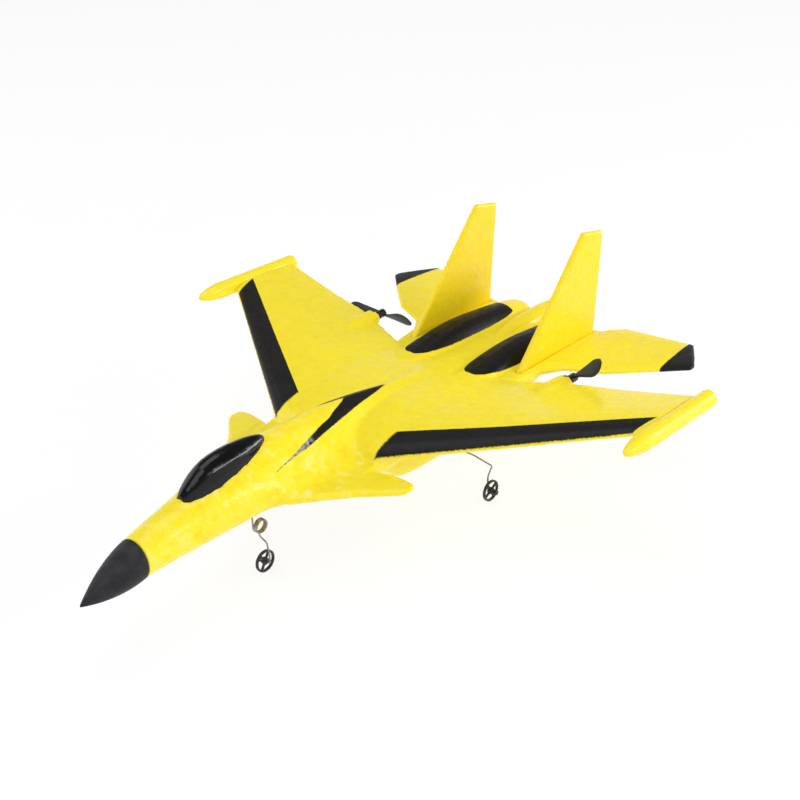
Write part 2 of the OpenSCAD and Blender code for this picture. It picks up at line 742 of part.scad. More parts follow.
// Swings down about its pin; the rear edge has a finger ridge
module battery_hatch() {
    color(charcoal)
        difference() {
            union() {
                block([hatch.x, hatch.y, panel_t], [0, hatch_y + hatch.y / 2, belly_z]);
                block([9.4, 2.6, 1], [0, hinge_y + 1.1, hinge_z - 0.2]);
                along_x(-5.4, hinge_y, hinge_z) cylinder(r = barrel_r, h = 10.8, $fn = 32);
                block([9, 1.2, 0.8], [0, hatch_y + hatch.y - 3, belly_z - 0.8]);
            }
            along_x(-12, hinge_y, hinge_z) cylinder(r = pin_r + 0.05, h = 24, $fn = 24);
        }
}

module hatch_pin() {
    color(steel) along_x(-9.2, hinge_y, hinge_z) cylinder(r = pin_r, h = 18.4, $fn = 32);
}

module battery() {
    at = [0, hatch_y + 15.6, deck_z + divider_z - battery_t - 0.05];
    color("silver")
        difference() {
            block([battery_w, battery_len, battery_t], at);
            block([battery_w + 2, 1.6, 0.6], at + [0, battery_len / 2 - 2.6, -0.3]);
        }
}

module battery_plug() {
    color("ivory") block([7, 4.6, 4.4], [0, -23.1, deck_z + 3.6]);
}

module receiver_board() {
    color(board_green) block([tray.x - 3, 44, 1], [0, tray_y - 2, board_z]);
}

module board_components() {
    color(charcoal) {
        block([7, 7, 1.2], [-3, -44, board_z + 1.05]);
        block([4, 5, 1], [6, -34, board_z + 1.05]);
        block([5, 3, 2], [-7, -30, board_z + 1.05]);
        for (y = [-54, -50]) translate([8, y, board_z + 1.05]) cylinder(d = 3, h = 2.8, $fn = 32);
    }
}

module antenna_wire() {
    z = board_z + 4.2;
    color("gray") tube(rounded([[-11, -54, z - 2], [-11, -51, z], [-11, -24, z], [-4, -18, z]], 1), 0.7);
}

module switch_body() {
    at = [switch_at.x, switch_at.y, deck_z + 0.05];
    color("gray")
        difference() {
            block([8.6, 4, 3.4], at);
            block([2.2 + switch_travel + 0.6, 1.8, 3], at - [0, 0, 1]);
        }
}

module switch_slider() {
    color(gloss_black)
        block([2.2, 1.3, 4.4], [switch_at.x - switch_travel / 2, switch_at.y, belly_z - 1.4]);
}

module charge_socket() {
    at = [socket_at.x, socket_at.y, deck_z + 0.05];
    color("ivory")
        difference() {
            block([7.4, 4.6, 5], at);
            block([5.6, 2.4, 5], at - [0, 0, 1]);
        }
}

module status_light() {
    color("red")
        translate([light_at.x, light_at.y, belly_z + 0.5]) {
            cylinder(r = 1.5, h = 3, $fn = 32);
            sphere(r = 1.5, $fn = 32);
        }
}

airframe();
port_fin();
starboard_fin();
nose_cone();
canopy();
port_wingtip_rod();
starboard_wingtip_rod();
port_motor_mount();
starboard_motor_mount();
port_motor();
starboard_motor();
port_motor_shaft();
starboard_motor_shaft();
port_propeller();
starboard_propeller();
port_motor_leads();
starboard_motor_leads();
nose_gear_socket();
nose_gear_stub();
nose_coil_spring();
nose_leg_wire();
nose_wheel();
nose_wheel_cap();
port_gear_socket();
starboard_gear_socket();
port_gear_wire();
starboard_gear_wire();
port_wheel();
starboard_wheel();
port_wheel_cap();
starboard_wheel_cap();
electronics_tray();
belly_panel();
panel_screws();
battery_hatch();
hatch_pin();
battery();
battery_plug();
receiver_board();
board_components();
antenna_wire();
switch_body();
switch_slider();
charge_socket();
status_light();
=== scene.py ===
import math

import bmesh
import bpy
import numpy as np
from mathutils import Matrix, Vector, noise


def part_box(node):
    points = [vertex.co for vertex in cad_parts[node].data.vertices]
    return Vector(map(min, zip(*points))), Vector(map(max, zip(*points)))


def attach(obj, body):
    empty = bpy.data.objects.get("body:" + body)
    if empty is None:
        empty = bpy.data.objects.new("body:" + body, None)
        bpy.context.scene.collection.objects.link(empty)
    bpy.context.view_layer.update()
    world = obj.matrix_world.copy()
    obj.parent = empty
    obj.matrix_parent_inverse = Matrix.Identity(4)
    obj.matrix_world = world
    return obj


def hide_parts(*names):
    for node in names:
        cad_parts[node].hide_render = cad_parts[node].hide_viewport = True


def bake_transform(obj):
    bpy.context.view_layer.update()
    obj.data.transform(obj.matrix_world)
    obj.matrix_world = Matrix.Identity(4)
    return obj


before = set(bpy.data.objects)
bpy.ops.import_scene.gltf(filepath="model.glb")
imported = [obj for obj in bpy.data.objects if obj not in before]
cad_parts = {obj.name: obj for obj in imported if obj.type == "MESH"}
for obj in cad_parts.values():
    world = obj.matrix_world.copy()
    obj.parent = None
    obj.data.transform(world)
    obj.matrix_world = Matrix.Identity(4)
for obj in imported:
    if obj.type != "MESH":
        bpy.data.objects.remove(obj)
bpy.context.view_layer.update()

# The looks of a ready-to-fly foam jet. Lengths are in metres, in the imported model's frame:
# +Z up, nose towards -Y, +X to the port wing. MM turns millimetres into metres.
MM = 0.001
SIDES = (("port", 1), ("starboard", -1))


# ---- Camera ----

CAMERA_AZIMUTH, CAMERA_ELEVATION, CAMERA_ROLL = 42.23, 27.35, -1.7
CAMERA_TARGET = Vector((0, 30.87, 53.97)) * MM
CAMERA_DISTANCE = 749.01 * MM
CAMERA_LENS, CAMERA_SENSOR = 63.92, 36


def make_camera():
    azimuth = math.radians(CAMERA_AZIMUTH)
    elevation = math.radians(CAMERA_ELEVATION)
    roll = math.radians(CAMERA_ROLL)
    back = Vector((math.sin(azimuth) * math.cos(elevation),
                   -math.cos(azimuth) * math.cos(elevation),
                   math.sin(elevation)))
    level = Vector((0, 0, 1)).cross(back).normalized()
    right = math.cos(roll) * level + math.sin(roll) * back.cross(level)
    turned = Matrix((right, back.cross(right), back)).transposed().to_4x4()
    camera = bpy.data.objects.new("camera", bpy.data.cameras.new("camera"))
    camera.data.lens, camera.data.sensor_width = CAMERA_LENS, CAMERA_SENSOR
    camera.data.clip_start, camera.data.clip_end = 0.01, 50
    camera.matrix_world = Matrix.Translation(CAMERA_TARGET + back * CAMERA_DISTANCE) @ turned
    bpy.context.scene.collection.objects.link(camera)
    bpy.context.scene.camera = camera


# ---- Shader graphs ----

class Shader:
    """A material's node tree, with a short method for each kind of node. Values may be numbers or sockets."""

    def __init__(self, name, **constants):
        self.material = bpy.data.materials.new(name)
        self.material.use_nodes = True
        self.nodes, self.links = self.material.node_tree.nodes, self.material.node_tree.links
        self.surface = self.nodes["Principled BSDF"]
        for socket, value in constants.items():
            self.surface.inputs[socket.replace("_", " ")].default_value = value
        self.place = self.add("TexCoord", out="Object")
        self.normal = self.add("TexCoord", out="Normal")

    def add(self, kind, out=0, settings=None, **inputs):
        """A new node's output. Inputs go by their names, or by number as i0, i1 and so on."""
        node = self.nodes.new("ShaderNode" + kind)
        for key, value in (settings or {}).items():
            setattr(node, key, value)
        for key, value in inputs.items():
            numbered = key[0] == "i" and key[1:].isdigit()
            self.feed(node.inputs[int(key[1:]) if numbered else key], value)
        return node.outputs[out]

    def feed(self, socket, value):
        if isinstance(value, bpy.types.NodeSocket):
            self.links.new(value, socket)
        else:
            socket.default_value = value

    def math(self, operation, a, b=0.0):
        return self.add("Math", settings={"operation": operation}, i0=a, i1=b)

    def plus(self, a, b):
        return self.math("ADD", a, b)

    def minus(self, a, b):
        return self.math("SUBTRACT", a, b)

    def times(self, a, b):
        return self.math("MULTIPLY", a, b)

    def least(self, a, *others):
        for b in others:
            a = self.math("MINIMUM", a, b)
        return a

    def most(self, a, *others):
        for b in others:
            a = self.math("MAXIMUM", a, b)
        return a

    def between(self, share, a, b):
        """A number share of the way from a to b."""
        return self.plus(self.times(a, self.minus(1.0, share)), self.times(b, share))

    def ramp(self, value, low, high, to_low=0.0, to_high=1.0):
        """to_low where value is at low, to_high where it is at high, with an eased passage between them."""
        return self.add("MapRange", settings={"interpolation_type": "SMOOTHSTEP"},
                        i0=value, i1=low, i2=high, i3=to_low, i4=to_high)

    def parts(self, vector):
        node = self.nodes.new("ShaderNodeSeparateXYZ")
        self.feed(node.inputs[0], vector)
        return node.outputs

    def noise(self, size, detail=2.0, stretch=(1, 1, 1)):
        """Noise whose features are about size metres across."""
        place = self.place
        if stretch != (1, 1, 1):
            place = self.add("VectorMath", settings={"operation": "MULTIPLY"}, i0=place, i1=stretch)
        return self.add("TexNoise", out="Fac", Vector=place, Scale=1 / size, Detail=detail)

    def cells(self, size, out="Distance", feature="F1"):
        """Cells about size metres across."""
        return self.add("TexVoronoi", out=out, settings={"feature": feature},
                        Vector=self.place, Scale=1 / size)

    def mix(self, factor, a, b):
        """A colour between a and b."""
        node = self.nodes.new("ShaderNodeMix")
        node.data_type = "RGBA"
        for socket, value in ((node.inputs[0], factor), (node.inputs[6], a), (node.inputs[7], b)):
            self.feed(socket, value)
        return node.outputs[2]

    def curve(self, value, low, high, points):
        """A smooth curve through (place, height) points, read where value lies between low and high."""
        top = max(p[1] for p in points) or 1.0
        node = self.nodes.new("ShaderNodeFloatCurve")
        curve = node.mapping.curves[0]
        spots = [((p[0] - low) / (high - low), p[1] / top) for p in points]
        for spot, place in zip(curve.points, (spots[0], spots[-1])):
            spot.location = place
        for place in spots[1:-1]:
            curve.points.new(*place)
        node.mapping.update()
        self.feed(node.inputs["Value"], self.add("MapRange", i0=value, i1=low, i2=high, i3=0.0, i4=1.0))
        return self.times(node.outputs[0], top)

    def finish(self, colour=None, roughness=None, height=None, depth=0.1 * MM, strength=1.0):
        if colour is not None:
            self.feed(self.surface.inputs["Base Color"], colour)
        if roughness is not None:
            self.feed(self.surface.inputs["Roughness"], roughness)
        if height is not None:
            bump = self.add("Bump", Height=height, Distance=depth, Strength=strength)
            self.feed(self.surface.inputs["Normal"], bump)
        return self.material


def rgb(red, green, blue):
    """A colour as a screen shows it, 0 to 255, turned into the linear one that a shader takes."""
    return tuple((c / 255) ** 2.2 for c in (red, green, blue)) + (1.0,)


# ---- Foam and its paint ----

YELLOW = rgb(253, 231, 38)
# Pale yellow: partly the foam's own tone, partly painted highlight
PALE_YELLOW_AND_HIGHLIGHT = rgb(255, 242, 132)
DEEP_YELLOW = rgb(250, 213, 10)
WARM_YELLOW = rgb(251, 221, 16)
CHARCOAL = rgb(30, 27, 28)
SOOT = rgb(14, 12, 12)
DUST = rgb(120, 110, 90)
# Painted reflection: silvery grey put into the black paint's colour where a light's reflection falls on the
# marking behind the canopy
PAINTED_REFLECTION_SILVER = rgb(186, 184, 176)

# Corners of the wing stripe, seen from above: distance from the centre plane and y, in millimetres
STRIPE = ((28.4, -30.6), (135.6, 43.2), (139.4, 58.4), (28.4, -13.4))
STRIPE_ROOT = 34.2
# A band along the wing's leading edge, where the stripe's paint is only dusted on
STRIPE_FRONT = ((30, -27.6), (140, 47.6), (140, 44.6), (30, -30.4))
TAILPLANE_TIP = ((93.8, 134), (120, 134), (120, 175), (89.6, 175))
LOWEST_PAINT = 52.0
# Outer and inner edge of one arm of the marking behind the canopy: y, distance from the centre plane
ARM_OUTER = ((-74, 15.9), (-60, 14.2), (-45, 12.6), (-30, 10.6), (-15, 7.8), (0, 4.9), (12, 2.2), (20, 0))
ARM_INNER = ((-74, 15.9), (-61, 13.6), (-52, 11.6), (-45, 10.2), (-36, 8.2), (-30, 7.2), (-22, 4.3), (-10, 0))
# Patch on each nacelle: y, half its width; and its centre line's distance from the centre plane
PATCH_HALF = ((63, 0), (65, 5), (70, 7.6), (80, 9.6), (95, 10.8), (125, 10.8), (140, 9.6), (146, 7.4))
PATCH_X = 21


def inside(shader, x, y, corners):
    """Distance in millimetres inside a convex outline, whose corners run anticlockwise; negative outside."""
    edges = []
    for (x0, y0), (x1, y1) in zip(corners, corners[1:] + corners[:1]):
        length = math.hypot(x1 - x0, y1 - y0)
        nx, ny = -(y1 - y0) / length, (x1 - x0) / length
        along = shader.plus(shader.times(x, nx), shader.times(y, ny))
        edges.append(shader.minus(along, nx * x0 + ny * y0))
    return shader.least(*edges)


def paint_mask(shader):
    """The share of paint at a point of the airframe, with a sprayed edge, and the point's y in mm."""
    x, y, z = (shader.times(part, 1 / MM) for part in shader.parts(shader.place))
    x = shader.math("ABSOLUTE", x)
    stripe = shader.least(inside(shader, x, y, STRIPE),
                          shader.times(shader.minus(x, STRIPE_ROOT), 0.3))
    past_inner = shader.plus(shader.minus(x, shader.curve(y, -74, -10, ARM_INNER)),
                             shader.ramp(y, -15, -8, 0.0, 0.9))
    arm = shader.least(shader.minus(shader.curve(y, -74, 20, ARM_OUTER), x), past_inner,
                       shader.minus(20.0, y), shader.plus(y, 74.0))
    patch = shader.minus(shader.curve(y, 63, 146, PATCH_HALF),
                         shader.math("ABSOLUTE", shader.minus(x, PATCH_X)))
    patch = shader.least(patch, shader.minus(145.0, y), shader.minus(y, 63.2))
    facing_up = shader.times(shader.minus(shader.parts(shader.normal)[2], 0.12), 12.0)
    top = shader.least(shader.most(stripe, arm, patch), facing_up, shader.minus(z, LOWEST_PAINT))
    edge = shader.most(top, inside(shader, x, y, TAILPLANE_TIP))
    at_front = shader.ramp(inside(shader, x, y, STRIPE_FRONT), -1.4, 0.4)
    speckle = shader.plus(0.5, shader.times(at_front, 3.2))
    spray = shader.times(shader.minus(shader.noise(1.1 * MM, 3.0), 0.5), speckle)
    return shader.ramp(shader.plus(edge, spray), -0.2, 0.2), y


def bead_look(shader, base):
    """Colour, roughness, gloss and dimples of bare foam: soft mottled beads, satin where pressed flat. The
    pale end of the mottle is partly the beads' own tone and partly painted highlight, and the mottle grows
    stronger towards the nose.
    """
    bead_tone = shader.parts(shader.cells(2.8 * MM, out="Color"))[0]
    seams = shader.cells(2.8 * MM, feature="DISTANCE_TO_EDGE")
    blotch = shader.noise(11 * MM, 3.0)
    streak = shader.noise(4.5 * MM, 4.0)
    tone = shader.plus(shader.times(shader.minus(bead_tone, 0.5), 0.5),
                       shader.times(shader.minus(blotch, 0.5), 2.2))
    tone = shader.plus(tone, shader.times(shader.minus(streak, 0.5), 2.2))
    y = shader.times(shader.parts(shader.place)[1], 1 / MM)
    tone = shader.times(tone, shader.ramp(y, 15, -70, 0.5, 1.0))
    # The pale end of the mottle is partly the beads' own tone and partly painted highlight
    light = shader.mix(shader.ramp(tone, 0.0, 1.3), base, PALE_YELLOW_AND_HIGHLIGHT)
    colour = shader.mix(shader.ramp(tone, 0.0, -1.1), light, DEEP_YELLOW)
    height = shader.plus(shader.ramp(seams, 0.0, 0.09, 0.0, 0.35),
                         shader.times(shader.noise(1.2 * MM, 3.0), 0.5))
    height = shader.plus(height, shader.times(shader.noise(6 * MM), 1.2))
    roughness = shader.ramp(shader.noise(8 * MM, 3.0), 0.3, 0.7, 0.4, 0.6)
    gloss = shader.ramp(shader.noise(5 * MM, 3.0), 0.35, 0.65, 0.25, 0.75)
    return colour, roughness, gloss, height


def paint_look(shader, y):
    """Colour, roughness, gloss and crinkles of the black paint, glossy towards the nose, with a painted
    silvery reflection on the front half of the marking behind the canopy.
    """
    glossy = shader.ramp(y, -36, -44, 0.0, 1.0)
    dust = shader.ramp(shader.noise(0.7 * MM), 0.68, 0.74, 0.0, 0.6)
    colour = shader.mix(shader.noise(20 * MM, 3.0), SOOT, CHARCOAL)
    colour = shader.mix(shader.times(dust, 0.35), colour, DUST)
    # Painted reflection: silvery streaks on the front half of the marking behind the canopy stand in for a
    # light's reflection on the glossy, crinkled paint
    painted_reflection = shader.times(shader.ramp(shader.noise(2.4 * MM, 4.0), 0.36, 0.6),
                        shader.times(shader.ramp(y, -43, -49), shader.ramp(y, -73, -67)))
    colour = shader.mix(shader.times(painted_reflection, 0.9), colour, PAINTED_REFLECTION_SILVER)
    roughness = shader.minus(shader.ramp(shader.noise(4 * MM, 3.0), 0.3, 0.7, 0.42, 0.56),
                             shader.times(glossy, 0.2))
    gloss = shader.plus(0.12, shader.times(glossy, 0.88))
    crinkle = shader.plus(0.25, shader.times(shader.times(shader.noise(3.2 * MM, 3.0), glossy), 5.0))
    return colour, roughness, gloss, crinkle


def foam_material(name, painted=False, base=YELLOW):
    """Expanded bead foam, bare or with the airframe's paint on it."""
    shader = Shader(name, Specular_IOR_Level=0.18, Coat_Roughness=0.24)
    colour, roughness, gloss, height = bead_look(shader, base)
    if painted:
        mask, y = paint_mask(shader)
        paint_colour, paint_roughness, paint_gloss, crinkle = paint_look(shader, y)
        colour = shader.mix(mask, colour, paint_colour)
        roughness = shader.between(mask, roughness, paint_roughness)
        gloss = shader.between(mask, gloss, paint_gloss)
        height = shader.plus(height, shader.times(crinkle, mask))
    shader.feed(shader.surface.inputs["Coat Weight"], gloss)
    return shader.finish(colour, roughness, height, depth=0.22 * MM, strength=0.55)


# ---- Other materials ----

def plain_material(name, colour, shade, roughness, grain=0.6 * MM, depth=0.03 * MM, **constants):
    """A solid stuff with a fine grain, whose colour, gloss and skin wander a little."""
    shader = Shader(name, **constants)
    wander = shader.noise(6 * MM, 4.0)
    fine = shader.noise(grain, 4.0)
    tint = shader.mix(shader.ramp(wander, 0.35, 0.65), colour, shade)
    rough = shader.ramp(shader.plus(wander, fine), 0.7, 1.3, roughness * 0.8, roughness * 1.25)
    return shader.finish(tint, rough, fine, depth=depth, strength=0.5)


def wire_material(name, colour, shade, roughness):
    """Drawn metal: fine scratches along its length, and darker spots where it was handled."""
    shader = Shader(name, Metallic=1.0)
    drawn = shader.noise(0.9 * MM, 3.0, stretch=(9, 9, 1))
    spots = shader.ramp(shader.noise(2.5 * MM, 4.0), 0.45, 0.75)
    tint = shader.mix(spots, colour, shade)
    rough = shader.ramp(drawn, 0.3, 0.7, roughness * 0.7, roughness * 1.4)
    return shader.finish(tint, rough, drawn, depth=0.02 * MM, strength=0.5)


def canopy_material():
    """Gloss black paint over smooth foam: clear reflections that ripple a little."""
    shader = Shader("canopy_gloss", Specular_IOR_Level=0.2, Coat_Weight=0.3, Coat_Roughness=0.05)
    ripple = shader.noise(9 * MM, stretch=(1, 0.55, 1))
    fine = shader.noise(1.8 * MM, 3.0)
    height = shader.plus(ripple, shader.times(fine, 0.12))
    colour = shader.mix(shader.noise(10 * MM, 3.0), rgb(8, 8, 9), rgb(20, 19, 22))
    rough = shader.ramp(fine, 0.3, 0.7, 0.12, 0.22)
    return shader.finish(colour, rough, height, depth=0.9 * MM, strength=0.5)


def board_material():
    """Green board with paler tracks."""
    shader = Shader("board_green", Specular_IOR_Level=0.5, Coat_Weight=0.3)
    tracks = shader.ramp(shader.cells(2.2 * MM, feature="DISTANCE_TO_EDGE"), 0.04, 0.08, 1.0, 0.0)
    colour = shader.mix(tracks, rgb(14, 92, 46), rgb(60, 140, 84))
    return shader.finish(colour, 0.4, tracks, depth=0.04 * MM)


def lead_material():
    """Red insulation, a little uneven in tone."""
    shader = Shader("lead_insulation", Specular_IOR_Level=0.4)
    wander = shader.noise(4 * MM, 3.0)
    colour = shader.mix(shader.ramp(wander, 0.3, 0.7), rgb(168, 22, 26), rgb(130, 12, 18))
    rough = shader.ramp(wander, 0.3, 0.7, 0.35, 0.5)
    return shader.finish(colour, rough, wander, depth=0.03 * MM)


def foil_material():
    """Silver battery pouch with a wrinkled skin."""
    shader = Shader("battery_pouch", Metallic=0.9)
    wrinkle = shader.cells(4 * MM, feature="DISTANCE_TO_EDGE")
    colour = shader.mix(shader.noise(8 * MM, 3.0), rgb(196, 200, 206), rgb(160, 164, 172))
    rough = shader.ramp(wrinkle, 0.0, 0.3, 0.45, 0.25)
    return shader.finish(colour, rough, wrinkle, depth=0.3 * MM, strength=0.4)


# ---- Mesh tools ----

def new_object(name, vertices, faces, smooth=True):
    mesh = bpy.data.meshes.new(name)
    mesh.from_pydata([tuple(v) for v in vertices], [], [tuple(f) for f in faces])
    mesh.update()
    made = bpy.data.objects.new(name, mesh)
    bpy.context.scene.collection.objects.link(made)
    if smooth:
        mesh.polygons.foreach_set("use_smooth", [True] * len(mesh.polygons))
    return made


def loft_mesh(rings):
    """Vertices and faces of a closed skin over rings of equal length, its ends filled in."""
    count = len(rings[0])
    vertices = [p for ring in rings for p in ring]
    faces = []
    for j in range(len(rings) - 1):
        for k in range(count):
            a, b = j * count + k, j * count + (k + 1) % count
            faces.append((a, b, b + count, a + count))
    faces.append(tuple(reversed(range(count))))
    faces.append(tuple(range((len(rings) - 1) * count, len(rings) * count)))
    return vertices, faces


def tidy_normals(made):
    work = bmesh.new()
    work.from_mesh(made.data)
    bmesh.ops.recalc_face_normals(work, faces=work.faces)
    work.to_mesh(made.data)
    work.free()
    return made


def joined(name, parts):
    """One mesh object from several (vertices, faces) pairs."""
    vertices, faces = [], []
    for part_vertices, part_faces in parts:
        start = len(vertices)
        vertices += list(part_vertices)
        faces += [tuple(i + start for i in face) for face in part_faces]
    return tidy_normals(new_object(name, vertices, faces))


def rounded_route(points, radius=0.9 * MM, steps=8):
    """A route with its corners rounded off, as the same quadratic bends the wire has."""
    points = [Vector(p) for p in points]
    out = [points[0]]
    for a, b, c in zip(points, points[1:], points[2:]):
        p = b + (a - b).normalized() * radius
        q = b + (c - b).normalized() * radius
        for k in range(steps + 1):
            t = k / steps
            out.append((1 - t) ** 2 * p + 2 * t * (1 - t) * b + t ** 2 * q)
    return out + [points[-1]]


def ring_around(centre, across, upward, radius, sides):
    turns = [2 * math.pi * k / sides for k in range(sides)]
    return [centre + radius * (math.cos(turn) * across + math.sin(turn) * upward) for turn in turns]


def tube_mesh(path, radius, sides=16, round_ends=True):
    """A round tube along a path, its section carried along without twisting, its ends softened."""
    path = [Vector(p) for p in path]
    last = len(path) - 1
    softened = ((1, 0.45), (0.75, 0.8)) if round_ends else ()
    side = (path[1] - path[0]).orthogonal().normalized()
    rings = []
    for i, at in enumerate(path):
        along = (path[min(i + 1, last)] - path[max(i - 1, 0)]).normalized()
        side = (side - along * side.dot(along)).normalized()
        other = along.cross(side)
        slices = [(0, 1)]
        if i == 0:
            slices = [(-shift, share) for shift, share in softened] + slices
        if i == last:
            slices = slices + [(shift, share) for shift, share in reversed(softened)]
        for shift, share in slices:
            centre = at + along * (shift * radius * 0.35)
            rings.append(ring_around(centre, side, other, radius * share, sides))
    return loft_mesh(rings)


def evaluated(made):
    """Replaces an object's mesh by the one its modifiers make."""
    bpy.context.view_layer.update()
    graph = bpy.context.evaluated_depsgraph_get()
    mesh = bpy.data.meshes.new_from_object(made.evaluated_get(graph))
    made.modifiers.clear()
    made.data = mesh
    return made


def fused(made, voxel):
    """Melts overlapping closed shells into one skin."""
    remesh = made.modifiers.new("melt", "REMESH")
    remesh.mode, remesh.voxel_size = "VOXEL", voxel
    evaluated(made)
    made.data.polygons.foreach_set("use_smooth", [True] * len(made.data.polygons))
    return made


def relaxed(made, passes, pull=0.5, push=-0.53):
    """Smooths a mesh without shrinking it."""
    mesh = made.data
    count = len(mesh.vertices)
    places = np.empty(count * 3)
    mesh.vertices.foreach_get("co", places)
    places = places.reshape(-1, 3)
    edges = np.empty(len(mesh.edges) * 2, np.int64)
    mesh.edges.foreach_get("vertices", edges)
    a, b = edges.reshape(-1, 2).T
    degree = np.bincount(a, minlength=count) + np.bincount(b, minlength=count)
    for step in range(passes * 2):
        total = np.stack([np.bincount(a, places[b, i], count) + np.bincount(b, places[a, i], count)
                          for i in range(3)], 1)
        places += (pull if step % 2 == 0 else push) * (total / degree[:, None] - places)
    mesh.vertices.foreach_set("co", places.ravel())
    mesh.update()
    return made


def copy_of(node):
    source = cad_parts[node]
    made = bpy.data.objects.new(node + "_skin", source.data.copy())
    made.data.materials.clear()
    bpy.context.scene.collection.objects.link(made)
    work = bmesh.new()
    work.from_mesh(made.data)
    bmesh.ops.remove_doubles(work, verts=work.verts, dist=1e-6)
    work.to_mesh(made.data)
    work.free()
    return made


def foam_skin(node, voxel, passes, dimple=0.05 * MM, plugs=()):
    """The CAD solid melted into one skin, its facets relaxed away, uneven as moulded beads are.

    plugs are closed shells that fill pockets whose walls are too thin to melt."""
    made = copy_of(node)
    for vertices, faces in plugs:
        merged(made, vertices, faces)
    fused(made, voxel)
    relaxed(made, passes)
    vertices = made.data.vertices
    places = np.array([vertex.co for vertex in vertices])
    normals = np.array([vertex.normal for vertex in vertices])
    waves = np.array([noise.noise(vertex.co / (4.2 * MM)) + 0.5 * noise.noise(vertex.co / (1.9 * MM))
                      for vertex in vertices])
    places += normals * (waves * dimple)[:, None]
    vertices.foreach_set("co", places.ravel())
    made.data.update()
    return made


def canopy_plug():
    """The canopy's shape, drawn in by a little less than a millimetre."""
    shell = copy_of("canopy")
    vertices = [vertex.co - vertex.normal * 0.9 * MM for vertex in shell.data.vertices]
    faces = [tuple(face.vertices) for face in shell.data.polygons]
    bpy.data.objects.remove(shell)
    return vertices, faces


def motor_plug(side):
    """Closes a motor's pocket in front of the last few millimetres of its mount."""
    low, high = (Vector(corner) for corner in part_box(side + "_motor_mount"))
    middle, radius = (low + high) / 2, (high.x - low.x) / 2 + 0.12 * MM
    return tube_mesh([(middle.x, y, middle.z) for y in (low.y - 5.8 * MM, high.y - 3 * MM)], radius, 32,
                     round_ends=False)


def merged(made, vertices, faces):
    """Adds more closed shells to an object's mesh."""
    old = [vertex.co.copy() for vertex in made.data.vertices]
    old_faces = [tuple(face.vertices) for face in made.data.polygons]
    moved_faces = [tuple(i + len(old) for i in face) for face in faces]
    mesh = bpy.data.meshes.new(made.name)
    mesh.from_pydata(old + list(vertices), [], old_faces + moved_faces)
    mesh.update()
    made.data = mesh
    return made


def moulded(node, voxel, passes=4):
    """A small moulding: the CAD solid with its edges and inside corners softened."""
    return relaxed(fused(copy_of(node), voxel), passes)


def dress(made, body, material, replaces=()):
    made.data.materials.clear()
    made.data.materials.append(material)
    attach(made, body)
    if replaces:
        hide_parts(*replaces)
    return made


# ---- Materials in use ----

MATERIAL = {
    "foam": foam_material("bead_foam"),
    "fin_foam": foam_material("bead_foam_fin", base=WARM_YELLOW),
    "painted_foam": foam_material("bead_foam_painted", painted=True),
    "charcoal": plain_material("charcoal_paint", rgb(47, 46, 50), rgb(40, 39, 43), 0.56,
                               grain=1.2 * MM, depth=0.06 * MM, Specular_IOR_Level=0.25),
    "canopy": canopy_material(),
    "black": plain_material("black_nylon", rgb(20, 20, 21), rgb(30, 30, 31), 0.36, Specular_IOR_Level=0.5),
    "wire": wire_material("gear_wire", rgb(150, 146, 138), rgb(100, 94, 84), 0.28),
    "coil": wire_material("spring_wire", rgb(168, 158, 138), rgb(96, 84, 66), 0.24),
    "can": wire_material("motor_can_steel", rgb(214, 212, 206), rgb(170, 168, 160), 0.2),
    "screw": wire_material("screw_steel", rgb(110, 110, 112), rgb(70, 70, 72), 0.35),
    "white": plain_material("white_nylon", rgb(238, 236, 226), rgb(224, 221, 208), 0.42,
                            Subsurface_Weight=0.05),
    "panel": plain_material("panel_plastic", rgb(38, 37, 39), rgb(48, 46, 49), 0.55,
                            grain=0.4 * MM, depth=0.05 * MM),
    "ivory": plain_material("ivory_plastic", rgb(236, 228, 204), rgb(222, 212, 184), 0.45),
    "chip": plain_material("component_black", rgb(26, 26, 28), rgb(36, 36, 38), 0.5),
    "lens": plain_material("red_lens", rgb(190, 24, 20), rgb(150, 10, 12), 0.12,
                           Transmission_Weight=0.3, Coat_Weight=0.5),
    "board": board_material(),
    "lead": lead_material(),
    "foil": foil_material(),
}


# ---- Foam pieces ----

AIRFRAME_VOXEL, FIN_VOXEL, ROD_VOXEL = 0.8 * MM, 0.55 * MM, 0.5 * MM


def make_foam():
    plugs = [canopy_plug()] + [motor_plug(side) for side, _ in SIDES]
    skin = foam_skin("airframe", AIRFRAME_VOXEL, 24, plugs=plugs)
    dress(skin, "root", MATERIAL["painted_foam"], ["airframe"])
    for side, _ in SIDES:
        fin = side + "_fin"
        dress(foam_skin(fin, FIN_VOXEL, 6), "root", MATERIAL["fin_foam"], [fin])
        rod = side + "_wingtip_rod"
        dress(foam_skin(rod, ROD_VOXEL, 10), "root", MATERIAL["foam"], [rod])


# ---- Painted and moulded pieces ----

def make_canopy():
    """Gloss shell that ripples a little where the paint has settled over the foam."""
    shell = relaxed(fused(copy_of("canopy"), 0.45 * MM), 8)
    for vertex in shell.data.vertices:
        at = vertex.co
        ripple = noise.noise(Vector((at.x, at.y * 0.55, at.z)) / (5.5 * MM))
        vertex.co = at + vertex.normal * (0.11 * MM * ripple)
    dress(shell, "root", MATERIAL["canopy"], ["canopy"])


